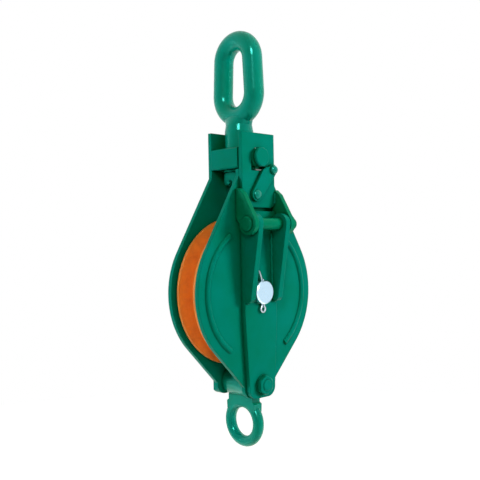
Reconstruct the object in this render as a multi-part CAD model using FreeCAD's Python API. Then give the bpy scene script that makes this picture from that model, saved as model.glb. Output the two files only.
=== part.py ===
import FreeCAD, Part
import math
import os
from FreeCAD import Vector

# Single sheave pulley block of the opening kind. Millimetres, +Z up, sheave axis along Y.
# Sizes are written from the sheave centre; every piece is moved at the end so that the
# load seat inside the top link's crown is the origin.

# Sheave
SHEAVE_R = 79.0
RIM_HALF = 15.0
RIM_EDGE = 4.0
RIM_NOSE = 1.2
ROPE_SEAT_R = 8.5
GROOVE_DEPTH = 21.0
RIM_WALL = 5.5
HUB_R = 29.0
HUB_HALF = 15.4
HUB_FLARE = 5.0
WEB_HALF = 5.5
WEB_ROOT = 4.0
RIM_ROOT = 6.0
BUSH_R = 16.5
RUNNING_FIT = 0.05
FREE_GAP = 0.3

# Side plates and straps
PLATE_LIP = 4.0
PLATE_IN = 18.2
PLATE_T = 4.8
TAB_RISE = 86.5
SHOULDER_RISE = 38.0
FRONT_PLATE_GAP = 1.5
FOOT_HALF = 21.0
FOOT_CORNER_R = 10.5
FOOT_MARGIN = 13.5
FOOT_SHOULDER_DROP = 1.0
BACK_STRAP_T = 5.0
BACK_STRAP_HALF = 18.5
BACK_STRAP_LAP = 19.5
FRONT_STRAP_T = 5.5
FRONT_STRAP_HALF = 23.6
FRONT_STRAP_RISE = 1.5
FRONT_STRAP_NARROWING = 4.6
FRONT_STRAP_TAPER = 72.0
BEAD_INSET = 12.5
BEAD_HALF = 3.2
BEAD_H = 2.6
BEAD_TOP_DEG = 57.0
BEAD_END_DEG = 55.0

# Axle, thrust washers and grease nipple
AXLE_R = 12.5
AXLE_TAIL = 6.7
AXLE_HEAD_R = 17.5
AXLE_HEAD_T = 6.0
AXLE_CHAMFER = 1.2
OIL_WAY_R = 2.0
SPLIT_PIN_R = 2.0
SPLIT_PIN_GAP = 0.4
SPLIT_PIN_HANG = 5.5
SPLIT_PIN_LEG = 9.5
THRUST_WIDTH = 6.0
NIPPLE_FLATS = 7.0
NIPPLE_HEX_T = 3.0
NIPPLE_NECK_T = 3.0
NIPPLE_BALL_R = 2.6
NIPPLE_SHANK = 5.0

# Crosshead and its journals
CROSS_HALF_X = 25.0
CROSS_RISE = 68.0
CROSS_H = 21.5
CROSS_EASE = 1.2
CROSS_CHAMFER = 1.2
JOURNAL_R = 10.0
JOURNAL_NECK_R = 6.6
JOURNAL_NOSE = 3.0
JOURNAL_SLOT_EASE = 0.5
JOURNAL_CHAMFER = 1.0
JOURNAL_TAIL = 5.0
JOURNAL_PIN_R = 1.8
JOURNAL_WASHER_W = 6.0
WASHER_T = 2.0

# Top link, its nut and nut pin
LINK_BAR_R = 10.7
LINK_CROWN_R = 21.8
LINK_LOW_R = 23.6
LINK_LENGTH = 35.4
LINK_COLLAR_R = 15.4
LINK_COLLAR_H = 20.0
LINK_WAIST_R = 14.2
LINK_WAIST_H = 6.5
LINK_SWELL_H = 9.6
LINK_SWELL_HALF = 22.0
SHANK_R = 10.0
SHANK_TAIL = 2.5
SHANK_CHAMFER = 1.2
NUT_FLATS = 30.0
NUT_T = 14.0
CASTLE_D = 5.0
CASTLE_HALF = 2.2
NUT_PIN_R = 1.8
NUT_CONE_SLOPE = 0.577

# Hasp, its hinge and the keeper latch
HASP_T = 4.5
HASP_TOP_LAP = 25.6
HASP_GAP = 4.0
HASP_CORNER_R = 7.0
HASP_HOLE_EASE = 0.5
HASP_HOLE_DROP = 14.0
HINGE_OFFSET = 16.5
HINGE_DROP = 8.0
HINGE_R = 6.0
HINGE_HEAD_LIP = 1.5
HINGE_HEAD_T = 2.2
HINGE_TAIL = 10.0
HINGE_CHAMFER = 0.9
HINGE_PIN_R = 1.5
HINGE_WASHER_W = 4.5
ARM_T = 5.5
ARM_SIDE_GAP = 0.6
ARM_LUG_R = 11.5
ARM_TOP_RISE = 36.5
ARM_APEX_DEPTH = 11.0
ARM_APEX_DROP = 5.3
ARM_HEEL = 6.0
RIB_T = 6.5
RIB_LUG_R = 11.0
RIB_FOOT_Z = -10.0
RIB_FOOT_DEPTH = 8.3
RIB_HEEL_CHAMFER = 3.0
LATCH_X = -5.4
LATCH_DROP = 39.4
LATCH_T = 3.2
LATCH_BOSS_R = 7.0
LATCH_RIVET_R = 3.0
LATCH_RIVET_LIP = 2.2
LATCH_RIVET_H = 2.4
LATCH_NOSE_X = 4.4
LATCH_NOSE_DROP = 12.4
LATCH_TIP_X = 8.0
LATCH_TIP_DROP = 10.4
KNOB_X = 19.0
KNOB_DROP = 12.4
KNOB_R = 4.8
KNOB_H = 5.0
KNOB_ROUND = 1.4
KNOB_LAND = 1.2

# Bottom bolt and becket eye
EYE_TO_RIM = 3.0
BOLT_R = 6.0
BOLT_FLATS = 18.0
BOLT_HEAD_T = 7.0
BOLT_WASHER_R = 10.4
BOLT_WASHER_T = 1.2
BOLT_NUT_T = 5.0
BOLT_TAIL = 1.0
SPACER_R = 9.0
EYE_BOSS_R = 15.0
EYE_SIDE_GAP = 0.45
EYE_BAR_R = 5.9
EYE_R = 20.8
EYE_DROP = 43.1
EYE_NECK_HALF_X = 5.9
EYE_NECK_DROP = 21.0
EYE_NECK_HALF_Y = 20.6

# Derived sizes
PLATE_R = SHEAVE_R + PLATE_LIP
TAB_HALF = FRONT_STRAP_HALF + ARM_SIDE_GAP
PLATE_OUT = PLATE_IN + PLATE_T
BACK_STRAP_OUT = PLATE_OUT + BACK_STRAP_T
FRONT_STRAP_OUT = PLATE_OUT + FRONT_STRAP_T
BEAD_R = PLATE_R - BEAD_INSET
SHOULDER_Z = PLATE_R + SHOULDER_RISE
TAB_TOP_Z = PLATE_R + TAB_RISE
FRONT_STRAP_TOP_Z = PLATE_R + FRONT_STRAP_RISE
CROSS_TOP_Z = PLATE_R + CROSS_RISE
CROSS_BOTTOM_Z = CROSS_TOP_Z - CROSS_H
FRONT_PLATE_TOP_Z = CROSS_BOTTOM_Z - FRONT_PLATE_GAP
JOURNAL_Z = CROSS_TOP_Z - JOURNAL_R
BACK_STRAP_TOP_Z = JOURNAL_Z + BACK_STRAP_LAP
BOLT_Z = -(SHEAVE_R + EYE_TO_RIM + EYE_BOSS_R)
FOOT_Z = BOLT_Z - FOOT_MARGIN
FOOT_CORNER_Z = FOOT_Z + FOOT_CORNER_R
FOOT_SHOULDER_Z = BOLT_Z - FOOT_SHOULDER_DROP
FRONT_STRAP_FOOT_HALF = FRONT_STRAP_HALF - FRONT_STRAP_NARROWING
AXLE_FRONT_Y = -FRONT_STRAP_OUT - AXLE_TAIL
AXLE_PIN_Y = -FRONT_STRAP_OUT - SPLIT_PIN_R - SPLIT_PIN_GAP
HASP_BACK = PLATE_OUT + FREE_GAP
HASP_FRONT = HASP_BACK + HASP_T
HASP_HALF = TAB_HALF
HASP_TOP_Z = JOURNAL_Z + HASP_TOP_LAP
HASP_BOTTOM_Z = FRONT_STRAP_TOP_Z + HASP_GAP
LATCH_BACK = HASP_FRONT + FREE_GAP
LATCH_FRONT = LATCH_BACK + LATCH_T
LATCH_Z = JOURNAL_Z - LATCH_DROP
KNOB_Z = JOURNAL_Z - KNOB_DROP
CROSS_FRONT_Y = -PLATE_OUT + CROSS_EASE
JOURNAL_GROOVE_Y = -LATCH_FRONT - JOURNAL_SLOT_EASE
JOURNAL_FRONT_Y = JOURNAL_GROOVE_Y - JOURNAL_NOSE
JOURNAL_PIN_Y = BACK_STRAP_OUT + WASHER_T + JOURNAL_PIN_R + FREE_GAP
JOURNAL_BACK_Y = JOURNAL_PIN_Y + JOURNAL_TAIL
HINGE_Y = -PLATE_OUT - HINGE_OFFSET
HINGE_Z = SHEAVE_R - HINGE_DROP
HINGE_GRIP = HASP_HALF + ARM_T + FREE_GAP
HINGE_PIN_X = HINGE_GRIP + WASHER_T + HINGE_PIN_R + FREE_GAP
LINK_COLLAR_Z = CROSS_TOP_Z + FREE_GAP
LINK_COLLAR_TOP_Z = LINK_COLLAR_Z + LINK_COLLAR_H
LINK_WAIST_Z = LINK_COLLAR_TOP_Z + LINK_WAIST_H
LINK_LOW_Z = LINK_WAIST_Z + LINK_SWELL_H + LINK_LOW_R
LINK_CROWN_Z = LINK_LOW_Z + LINK_LENGTH
SEAT_Z = LINK_CROWN_Z + LINK_CROWN_R - LINK_BAR_R
WASHER_TOP_Z = CROSS_BOTTOM_Z - FREE_GAP
NUT_TOP_Z = WASHER_TOP_Z - WASHER_T
NUT_BOTTOM_Z = NUT_TOP_Z - NUT_T
NUT_PIN_Z = NUT_BOTTOM_Z + 0.5 * CASTLE_D
SHANK_END_Z = NUT_BOTTOM_Z - SHANK_TAIL
EYE_BOSS_HALF = PLATE_IN - EYE_SIDE_GAP
EYE_Z = BOLT_Z - EYE_DROP


def polar(radius, degrees):
    angle = math.radians(degrees)
    return radius * math.cos(angle), radius * math.sin(angle)


def corner_r(flats):
    return flats / math.sqrt(3.0)


def cyl(radius, start, end):
    axis = end.sub(start)
    return Part.makeCylinder(radius, axis.Length, start, axis)


def cyl_x(radius, x0, x1, y, z):
    return cyl(radius, Vector(x0, y, z), Vector(x1, y, z))


def cyl_y(radius, y0, y1, x=0.0, z=0.0):
    return cyl(radius, Vector(x, y0, z), Vector(x, y1, z))


def cyl_z(radius, z0, z1, x=0.0, y=0.0):
    return cyl(radius, Vector(x, y, z0), Vector(x, y, z1))


def block(x0, x1, y0, y1, z0, z1):
    return Part.makeBox(x1 - x0, y1 - y0, z1 - z0, Vector(x0, y0, z0))


def slab(edges, depth):
    face = Part.Face(Part.Wire(Part.__sortEdges__(edges)))
    return face.extrude(depth)


def line(a, b):
    return Part.LineSegment(a, b).toShape()


def poly_edges(points, closed=True):
    ends = points[1:] + points[:1] if closed else points[1:]
    starts = points if closed else points[:-1]
    return [line(a, b) for a, b in zip(starts, ends)]


def arc(a, b, c):
    return Part.Arc(a, b, c).toShape()


def hexagon(flats, z_dir, centre, height):
    points = []
    for i in range(6):
        px, py = polar(corner_r(flats), 60.0 * i + 30.0)
        points.append(Vector(px, py, 0.0))
    solid = slab(poly_edges(points), Vector(0, 0, height))
    turn = FreeCAD.Rotation(Vector(0, 0, 1), z_dir)
    solid.Placement = FreeCAD.Placement(centre, turn)
    return solid


def hex_nut(flats, z_dir, centre, height, bore):
    # A hexagon with both faces dressed to a cone; the bore is left out for a bolt head.
    nut = hexagon(flats, z_dir, centre, height)
    land = flats * 0.48
    full = height + 2.0 * corner_r(flats) * NUT_CONE_SLOPE
    far = centre.add(z_dir * height)
    lower = Part.makeCone(land, land + full / NUT_CONE_SLOPE, full, centre, z_dir)
    upper = Part.makeCone(land, land + full / NUT_CONE_SLOPE, full, far, z_dir * -1.0)
    nut = nut.common(lower).common(upper)
    if bore > 0.0:
        nut = nut.cut(cyl(bore, centre.sub(z_dir), far.add(z_dir)))
    return nut


def tangent_degrees(px, pz, radius):
    # Direction of the point, and its lean to where a line from it touches the circle round the axis.
    lean = math.degrees(math.acos(radius / math.hypot(px, pz)))
    return math.degrees(math.atan2(pz, px)), lean


def end_edges(solid, at_y):
    return [e for e in solid.Edges if max(abs(e.BoundBox.YMin - at_y), abs(e.BoundBox.YMax - at_y)) < 0.01]


def chamfer_ends(solid, size):
    box = solid.BoundBox
    return solid.makeChamfer(size, end_edges(solid, box.YMin) + end_edges(solid, box.YMax))


# Sheave and bush
def make_sheave():
    tread_r = SHEAVE_R - GROOVE_DEPTH
    centre_r = tread_r + ROPE_SEAT_R
    mouth = RIM_HALF - RIM_EDGE
    reach = math.hypot(mouth, SHEAVE_R - centre_r)
    tilt = math.degrees(math.atan2(SHEAVE_R - centre_r, mouth))
    touch = tilt - math.degrees(math.acos(ROPE_SEAT_R / reach))
    ty, tr = polar(ROPE_SEAT_R, touch)
    rim_in = tread_r - RIM_WALL

    def p(y, r):
        return Vector(r, y, 0.0)

    half = [
        p(HUB_HALF, BUSH_R), p(HUB_HALF, HUB_R), p(WEB_HALF, HUB_R + HUB_FLARE), p(WEB_HALF, rim_in - WEB_ROOT),
        p(RIM_HALF, rim_in + RIM_ROOT), p(RIM_HALF, SHEAVE_R - RIM_NOSE), p(RIM_HALF - RIM_NOSE, SHEAVE_R),
        p(mouth, SHEAVE_R), p(ty, centre_r + tr),
    ]
    other = [Vector(v.x, -v.y, 0.0) for v in reversed(half)]
    edges = poly_edges(half, closed=False)
    edges.append(arc(half[-1], p(0.0, tread_r), other[0]))
    edges += poly_edges(other, closed=False)
    edges.append(line(other[-1], half[0]))
    face = Part.Face(Part.Wire(Part.__sortEdges__(edges)))
    return face.revolve(Vector(0, 0, 0), Vector(0, 1, 0), 360.0)


def make_bush():
    outer = cyl_y(BUSH_R, -HUB_HALF, HUB_HALF)
    return outer.cut(cyl_y(AXLE_R + RUNNING_FIT, -HUB_HALF - 1.0, HUB_HALF + 1.0))


# Side plates and straps
def foot_edges(y, half):
    side = half - FOOT_CORNER_R
    edges = [line(Vector(-side, y, FOOT_Z), Vector(side, y, FOOT_Z))]
    cx, cz = polar(FOOT_CORNER_R, 45.0)
    for way in (-1.0, 1.0):
        middle = Vector(way * (side + cx), y, FOOT_CORNER_Z - cz)
        edges.append(arc(Vector(way * side, y, FOOT_Z), middle, Vector(way * half, y, FOOT_CORNER_Z)))
    return edges


def plate_outline(y, top_z):
    edges = foot_edges(y, FOOT_HALF)
    up, up_lean = tangent_degrees(TAB_HALF, SHOULDER_Z, PLATE_R)
    down, down_lean = tangent_degrees(FOOT_HALF, FOOT_SHOULDER_Z, PLATE_R)
    for way in (-1.0, 1.0):
        ax, az = polar(PLATE_R, up - up_lean)
        bx, bz = polar(PLATE_R, down + down_lean)
        edges += poly_edges([
            Vector(way * TAB_HALF, y, top_z), Vector(way * TAB_HALF, y, SHOULDER_Z),
            Vector(way * ax, y, az)], closed=False)
        edges.append(arc(Vector(way * ax, y, az), Vector(way * PLATE_R, y, 0.0), Vector(way * bx, y, bz)))
        edges += poly_edges([
            Vector(way * bx, y, bz), Vector(way * FOOT_HALF, y, FOOT_SHOULDER_Z),
            Vector(way * FOOT_HALF, y, FOOT_CORNER_Z)], closed=False)
    edges.append(line(Vector(-TAB_HALF, y, top_z), Vector(TAB_HALF, y, top_z)))
    return edges


def pressed_bead(y_face, out, start_deg, sweep_deg):
    root = y_face - out * 0.5 * PLATE_T
    a = Vector(BEAD_R - BEAD_HALF, y_face, 0.0)
    b = Vector(BEAD_R, y_face + out * BEAD_H, 0.0)
    c = Vector(BEAD_R + BEAD_HALF, y_face, 0.0)
    edges = [arc(a, b, c)]
    edges += poly_edges([c, Vector(c.x, root, 0.0), Vector(a.x, root, 0.0), a], closed=False)
    face = Part.Face(Part.Wire(Part.__sortEdges__(edges)))
    face.rotate(Vector(0, 0, 0), Vector(0, 1, 0), -start_deg)
    return face.revolve(Vector(0, 0, 0), Vector(0, 1, 0), -sweep_deg)


def bored(body, y0, y1):
    # The axle's and the bottom bolt's holes through everything between y0 and y1.
    body = body.cut(cyl_y(AXLE_R, y0 - 1.0, y1 + 1.0))
    return body.cut(cyl_y(BOLT_R, y0 - 1.0, y1 + 1.0, z=BOLT_Z))


def journal_bored(body, y0, y1):
    return body.cut(cyl_y(JOURNAL_R, y0 - 1.0, y1 + 1.0, z=JOURNAL_Z))


def side_plate(out, top_z):
    y0 = PLATE_IN if out > 0 else -PLATE_OUT
    plate = slab(plate_outline(y0, top_z), Vector(0, PLATE_T, 0))
    sweep = BEAD_TOP_DEG + BEAD_END_DEG
    for start in (-BEAD_END_DEG, 180.0 - BEAD_TOP_DEG):
        plate = plate.fuse(pressed_bead(out * PLATE_OUT, out, start, sweep))
    return bored(plate, y0, y0 + PLATE_T).removeSplitter()


def make_back_plate():
    return journal_bored(side_plate(1.0, TAB_TOP_Z), PLATE_IN, PLATE_OUT)


def strap(y0, y1, half, top_z):
    # A flat strap whose foot follows the side plate's.
    flat = slab(plate_outline(y0, top_z), Vector(0, y1 - y0, 0))
    return bored(flat.common(block(-half, half, y0, y1, FOOT_Z, top_z)), y0, y1)


def make_back_strap():
    body = strap(PLATE_OUT, BACK_STRAP_OUT, BACK_STRAP_HALF, BACK_STRAP_TOP_Z)
    return journal_bored(body, PLATE_OUT, BACK_STRAP_OUT)


def make_front_strap():
    # Both edges draw in below the ribs towards the rounded foot.
    y0 = -FRONT_STRAP_OUT
    taper_z = FOOT_SHOULDER_Z + FRONT_STRAP_TAPER
    edges = foot_edges(y0, FRONT_STRAP_FOOT_HALF)
    for way in (-1.0, 1.0):
        edges += poly_edges([
            Vector(way * FRONT_STRAP_FOOT_HALF, y0, FOOT_CORNER_Z),
            Vector(way * FRONT_STRAP_FOOT_HALF, y0, FOOT_SHOULDER_Z),
            Vector(way * FRONT_STRAP_HALF, y0, taper_z),
            Vector(way * FRONT_STRAP_HALF, y0, FRONT_STRAP_TOP_Z)], closed=False)
    top = [Vector(way * FRONT_STRAP_HALF, y0, FRONT_STRAP_TOP_Z) for way in (-1.0, 1.0)]
    edges.append(line(top[0], top[1]))
    return bored(slab(edges, Vector(0, FRONT_STRAP_T, 0)), y0, -PLATE_OUT)


# Axle, washers and pins
def make_axle():
    body = cyl_y(AXLE_R, AXLE_FRONT_Y, BACK_STRAP_OUT)
    head = cyl_y(AXLE_HEAD_R, BACK_STRAP_OUT, BACK_STRAP_OUT + AXLE_HEAD_T)
    body = chamfer_ends(body.fuse(head).removeSplitter(), AXLE_CHAMFER)
    body = body.cut(cyl_y(OIL_WAY_R, 0.0, BACK_STRAP_OUT + AXLE_HEAD_T + 1.0))
    body = body.cut(cyl_z(OIL_WAY_R, 0.0, AXLE_R + 1.0))
    return body.cut(cyl_z(SPLIT_PIN_R, -AXLE_R - 1.0, AXLE_R + 1.0, y=AXLE_PIN_Y))


def thrust_washer(way):
    y0, y1 = sorted((way * (HUB_HALF + FREE_GAP), way * PLATE_IN))
    ring = cyl_y(BUSH_R + THRUST_WIDTH, y0, y1)
    return ring.cut(cyl_y(AXLE_R, y0 - 1.0, y1 + 1.0))


def make_grease_nipple():
    base_y = BACK_STRAP_OUT + AXLE_HEAD_T
    out = Vector(0, 1, 0)
    hex_y = base_y + NIPPLE_HEX_T
    ball_y = hex_y + NIPPLE_NECK_T + 0.5 * NIPPLE_BALL_R
    body = cyl_y(OIL_WAY_R, base_y - NIPPLE_SHANK, base_y)
    body = body.fuse(hexagon(NIPPLE_FLATS, out, Vector(0, base_y, 0), NIPPLE_HEX_T))
    body = body.fuse(Part.makeCone(NIPPLE_BALL_R, 0.8 * NIPPLE_BALL_R, NIPPLE_NECK_T, Vector(0, hex_y, 0), out))
    body = body.fuse(Part.makeSphere(NIPPLE_BALL_R, Vector(0, ball_y, 0)))
    return body.removeSplitter()


def split_pin(eye_at, along, spread, shaft, leg, radius, leans):
    # Eye ring, round shaft and two half legs bent apart at the tip.
    along = Vector(along).normalize()
    spread = Vector(spread).normalize()
    eye_r = radius * 1.45
    wire = radius * 0.62
    ring = Part.makeTorus(eye_r, wire, eye_at, along.cross(spread))
    neck = eye_at.add(along * (eye_r + 0.2))
    end = neck.add(along * shaft)
    pin = ring.fuse(cyl(radius, neck, end))
    for way, lean in zip((-1.0, 1.0), leans):
        bend, side = polar(1.0, lean)
        run = along * bend + spread * (way * side)
        foot = end.add(spread * (way * wire * 0.75)).sub(along * (radius * 0.8))
        pin = pin.fuse(cyl(wire, foot, foot.add(run * leg)))
        pin = pin.fuse(Part.makeSphere(wire, foot.add(run * leg)))
    return pin.removeSplitter()


def make_axle_split_pin():
    # The eye hangs below the axle end and the two legs are bent open above it.
    reach = AXLE_R + SPLIT_PIN_HANG
    eye = Vector(0.0, AXLE_PIN_Y, -reach)
    shaft = reach + AXLE_R - 0.25 * SPLIT_PIN_R
    pin_r = SPLIT_PIN_R - RUNNING_FIT
    return split_pin(eye, Vector(0, 0, 1), Vector(1, 0, 0), shaft, SPLIT_PIN_LEG, pin_r, (27.0, 4.0))


# Crosshead and top link
def make_crosshead():
    body = block(-CROSS_HALF_X, CROSS_HALF_X, CROSS_FRONT_Y, PLATE_IN, CROSS_BOTTOM_Z, CROSS_TOP_Z)
    body = body.makeChamfer(CROSS_CHAMFER, [e for e in body.Edges if e.BoundBox.YLength > PLATE_IN])
    front_root = CROSS_FRONT_Y + JOURNAL_CHAMFER
    front = chamfer_ends(cyl_y(JOURNAL_R, JOURNAL_FRONT_Y, front_root, z=JOURNAL_Z), JOURNAL_CHAMFER)
    groove = cyl_y(JOURNAL_R + 1.0, JOURNAL_GROOVE_Y, -HASP_FRONT, z=JOURNAL_Z)
    groove = groove.cut(cyl_y(JOURNAL_NECK_R, JOURNAL_GROOVE_Y, -HASP_FRONT, z=JOURNAL_Z))
    back = chamfer_ends(cyl_y(JOURNAL_R, PLATE_IN - JOURNAL_CHAMFER, JOURNAL_BACK_Y, z=JOURNAL_Z), JOURNAL_CHAMFER)
    body = body.fuse(front.cut(groove)).fuse(back)
    body = body.cut(cyl_z(SHANK_R + RUNNING_FIT, CROSS_BOTTOM_Z - 1.0, CROSS_TOP_Z + 1.0))
    low = JOURNAL_Z - JOURNAL_R - 1.0
    return body.cut(cyl_z(JOURNAL_PIN_R, low, JOURNAL_Z + JOURNAL_R + 1.0, y=JOURNAL_PIN_Y)).removeSplitter()


def make_journal_washer():
    ring = cyl_y(JOURNAL_R + JOURNAL_WASHER_W, BACK_STRAP_OUT, BACK_STRAP_OUT + WASHER_T, z=JOURNAL_Z)
    return journal_bored(ring, BACK_STRAP_OUT, BACK_STRAP_OUT + WASHER_T)


def make_journal_split_pin():
    eye = Vector(0.0, JOURNAL_PIN_Y, JOURNAL_Z + JOURNAL_R + 2.2 * JOURNAL_PIN_R)
    shaft = 2.0 * (JOURNAL_R + JOURNAL_PIN_R)
    pin_r = JOURNAL_PIN_R - RUNNING_FIT
    return split_pin(eye, Vector(0, 0, -1), Vector(1, 0, 0), shaft, 3.6 * JOURNAL_PIN_R, pin_r, (38.0, 38.0))


def link_path():
    # Two round bends, the crown's the tighter, joined by straight legs that touch both.
    lean = math.degrees(math.asin((LINK_LOW_R - LINK_CROWN_R) / LINK_LENGTH))
    top_y, top_z = polar(LINK_CROWN_R, lean)
    low_y, low_z = polar(LINK_LOW_R, lean)
    crown = LINK_CROWN_Z + top_z
    low = LINK_LOW_Z + low_z
    edges = [arc(Vector(0, -top_y, crown), Vector(0, 0, LINK_CROWN_Z + LINK_CROWN_R), Vector(0, top_y, crown))]
    edges.append(line(Vector(0, top_y, crown), Vector(0, low_y, low)))
    edges.append(arc(Vector(0, low_y, low), Vector(0, 0, LINK_LOW_Z - LINK_LOW_R), Vector(0, -low_y, low)))
    edges.append(line(Vector(0, -low_y, low), Vector(0, -top_y, crown)))
    return Part.Wire(edges)


def ring_wire(radius_x, radius_y, z):
    if radius_x == radius_y:
        return Part.Wire(Part.makeCircle(radius_x, Vector(0, 0, z), Vector(0, 0, 1)))
    oval = Part.Ellipse(Vector(0, radius_y, z), Vector(radius_x, 0, z), Vector(0, 0, z))
    return Part.Wire(oval.toShape())


def make_top_link():
    path = link_path()
    start = path.Edges[0].valueAt(path.Edges[0].FirstParameter)
    tangent = path.Edges[0].tangentAt(path.Edges[0].FirstParameter)
    loop = path.makePipeShell([Part.Wire(Part.makeCircle(LINK_BAR_R, start, tangent))], True, True)
    collar = cyl_z(LINK_COLLAR_R, LINK_COLLAR_Z, LINK_COLLAR_TOP_Z)
    neck = Part.makeCone(LINK_COLLAR_R, LINK_WAIST_R, LINK_WAIST_H, Vector(0, 0, LINK_COLLAR_TOP_Z), Vector(0, 0, 1))
    thin = 0.96 * LINK_BAR_R
    half_z = LINK_WAIST_Z + 0.5 * LINK_SWELL_H
    swell = Part.makeLoft([
        ring_wire(LINK_WAIST_R, LINK_WAIST_R, LINK_WAIST_Z),
        ring_wire(0.55 * LINK_WAIST_R + 0.45 * thin, 0.6 * LINK_WAIST_R + 0.4 * LINK_SWELL_HALF, half_z),
        ring_wire(thin, LINK_SWELL_HALF, LINK_WAIST_Z + LINK_SWELL_H)], True, False)
    shank = cyl_z(SHANK_R, SHANK_END_Z, LINK_COLLAR_Z)
    shank = shank.makeChamfer(SHANK_CHAMFER, [e for e in shank.Edges if e.BoundBox.ZMax < SHANK_END_Z + 0.01])
    body = loop.fuse(swell).fuse(neck).fuse(collar).fuse(shank)
    return body.cut(cyl_x(NUT_PIN_R, -SHANK_R - 1.0, SHANK_R + 1.0, 0.0, NUT_PIN_Z)).removeSplitter()


def make_link_washer():
    ring = cyl_z(corner_r(NUT_FLATS), NUT_TOP_Z, WASHER_TOP_Z)
    return ring.cut(cyl_z(SHANK_R, NUT_TOP_Z - 1.0, WASHER_TOP_Z + 1.0))


def make_link_nut():
    nut = hex_nut(NUT_FLATS, Vector(0, 0, 1), Vector(0, 0, NUT_BOTTOM_Z), NUT_T, SHANK_R)
    for i in range(3):
        slot = block(-NUT_FLATS, NUT_FLATS, -CASTLE_HALF, CASTLE_HALF, NUT_BOTTOM_Z - 1.0, NUT_BOTTOM_Z + CASTLE_D)
        slot.rotate(Vector(0, 0, 0), Vector(0, 0, 1), 60.0 * i)
        nut = nut.cut(slot)
    return nut


def make_link_nut_pin():
    reach = corner_r(NUT_FLATS) - FREE_GAP
    return cyl_x(NUT_PIN_R, -reach, reach, 0.0, NUT_PIN_Z)


# Hasp, ribs, hinge pin and latch
def rib(way):
    x0, x1 = sorted((way * (FRONT_STRAP_HALF - RIB_T), way * FRONT_STRAP_HALF))
    base = -FRONT_STRAP_OUT
    foot_y = base - RIB_FOOT_DEPTH
    front = Vector(x0, HINGE_Y - RIB_LUG_R, HINGE_Z)
    crown = Vector(x0, HINGE_Y, HINGE_Z + RIB_LUG_R)
    back = Vector(x0, HINGE_Y + RIB_LUG_R, HINGE_Z)
    edges = [arc(front, crown, back)]
    edges += poly_edges([
        back, Vector(x0, base, HINGE_Z - 0.5 * RIB_LUG_R), Vector(x0, base, RIB_FOOT_Z),
        Vector(x0, foot_y + RIB_HEEL_CHAMFER, RIB_FOOT_Z), Vector(x0, foot_y, RIB_FOOT_Z + RIB_HEEL_CHAMFER),
        front], closed=False)
    body = slab(edges, Vector(x1 - x0, 0, 0))
    return body.cut(cyl_x(HINGE_R, x0 - 1.0, x1 + 1.0, HINGE_Y, HINGE_Z))


def arm(way):
    x0, x1 = sorted((way * HASP_HALF, way * (HASP_HALF + ARM_T)))
    back_y = -HASP_BACK
    top_z = HINGE_Z + ARM_TOP_RISE
    apex = Vector(x0, back_y - ARM_APEX_DEPTH, top_z - ARM_APEX_DROP)
    dy = apex.y - HINGE_Y
    dz = apex.z - HINGE_Z
    front_deg = math.degrees(math.atan2(dz, dy) + math.acos(ARM_LUG_R / math.hypot(dy, dz)))
    fy, fz = polar(ARM_LUG_R, front_deg)
    my, mz = polar(ARM_LUG_R, 0.5 * (front_deg + 360.0))
    front = Vector(x0, HINGE_Y + fy, HINGE_Z + fz)
    bottom = Vector(x0, HINGE_Y + my, HINGE_Z + mz)
    back = Vector(x0, HINGE_Y + ARM_LUG_R, HINGE_Z)
    edges = [arc(front, bottom, back)]
    edges += poly_edges([
        back, Vector(x0, back_y, HINGE_Z + ARM_HEEL), Vector(x0, back_y, top_z), Vector(x0, -HASP_FRONT, top_z),
        apex, front], closed=False)
    body = slab(edges, Vector(x1 - x0, 0, 0))
    return body.cut(cyl_x(HINGE_R + RUNNING_FIT, x0 - 1.0, x1 + 1.0, HINGE_Y, HINGE_Z))


def make_hasp_plate():
    y0 = -HASP_FRONT
    y1 = -HASP_BACK
    corner_z = HASP_BOTTOM_Z + HASP_CORNER_R
    side = HASP_HALF - HASP_CORNER_R
    cx, cz = polar(HASP_CORNER_R, 45.0)
    edges = [line(Vector(-side, y0, HASP_BOTTOM_Z), Vector(side, y0, HASP_BOTTOM_Z))]
    for way in (-1.0, 1.0):
        middle = Vector(way * (side + cx), y0, corner_z - cz)
        edges.append(arc(Vector(way * side, y0, HASP_BOTTOM_Z), middle, Vector(way * HASP_HALF, y0, corner_z)))
        edges.append(line(Vector(way * HASP_HALF, y0, corner_z), Vector(way * HASP_HALF, y0, HASP_TOP_Z)))
    edges.append(line(Vector(-HASP_HALF, y0, HASP_TOP_Z), Vector(HASP_HALF, y0, HASP_TOP_Z)))
    body = slab(edges, Vector(0, HASP_T, 0))
    hole_r = JOURNAL_R + HASP_HOLE_EASE
    body = body.cut(cyl_y(hole_r, y0 - 1.0, y1 + 1.0, z=JOURNAL_Z))
    body = body.cut(block(-hole_r, hole_r, y0 - 1.0, y1 + 1.0, JOURNAL_Z - HASP_HOLE_DROP, JOURNAL_Z))
    return body.cut(cyl_y(LATCH_RIVET_R, y0 - 1.0, y1 + 1.0, x=LATCH_X, z=LATCH_Z))


def make_hinge_pin():
    body = cyl_x(HINGE_R, -HINGE_GRIP, HINGE_GRIP + HINGE_TAIL, HINGE_Y, HINGE_Z)
    head = cyl_x(HINGE_R + HINGE_HEAD_LIP, -HINGE_GRIP - HINGE_HEAD_T, -HINGE_GRIP, HINGE_Y, HINGE_Z)
    body = body.fuse(head).removeSplitter()
    box = body.BoundBox
    rings = [e for e in body.Edges if e.BoundBox.XMax < box.XMin + 0.01 or e.BoundBox.XMin > box.XMax - 0.01]
    body = body.makeChamfer(HINGE_CHAMFER, rings)
    reach = HINGE_R + 1.0
    return body.cut(cyl_z(HINGE_PIN_R, HINGE_Z - reach, HINGE_Z + reach, x=HINGE_PIN_X, y=HINGE_Y))


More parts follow.
